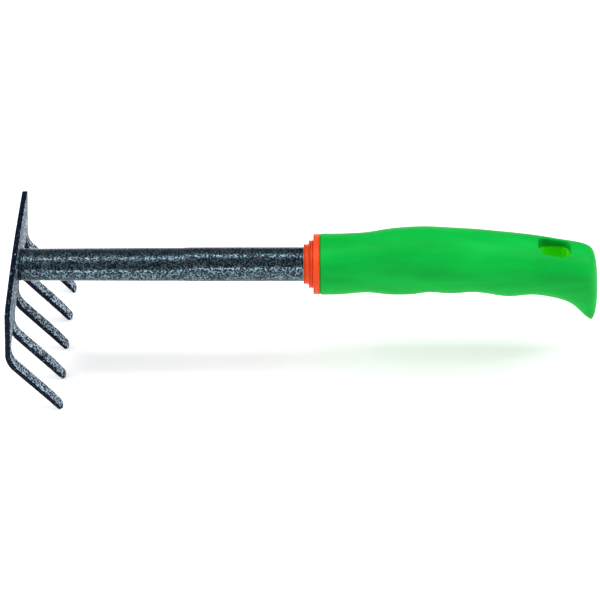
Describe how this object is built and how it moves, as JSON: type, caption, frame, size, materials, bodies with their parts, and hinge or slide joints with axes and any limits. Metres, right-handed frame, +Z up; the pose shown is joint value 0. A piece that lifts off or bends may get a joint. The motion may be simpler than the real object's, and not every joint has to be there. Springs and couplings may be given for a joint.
{
  "type": "hand rake",
  "caption": "Short-handled garden hand rake: a stamped comb head with swept-back tines, welded to a tubular shaft with a stepped collar and a hooked plastic grip.",
  "frame": {"origin": "middle of the bounding box in X and Y, at the level of the tine tips", "axes": "+X from the head to the handle's end, +Y across the head, +Z up away from the tine tips; the shaft's axis is parallel to X"},
  "size_m": [0.2756, 0.0852, 0.073],
  "materials": {
    "hammer_paint": "hammertone enamel, dark blue-grey with silver flecks",
    "collar_plastic": "satin moulded orange-red plastic",
    "grip_plastic": "satin moulded green plastic"
  },
  "bodies": {
    "root": {"rake_head": "hammer_paint", "weld_bead": "hammer_paint", "shaft_tube": "hammer_paint", "collar": "collar_plastic", "handle_grip": "grip_plastic"}
  },
  "joints": []
}
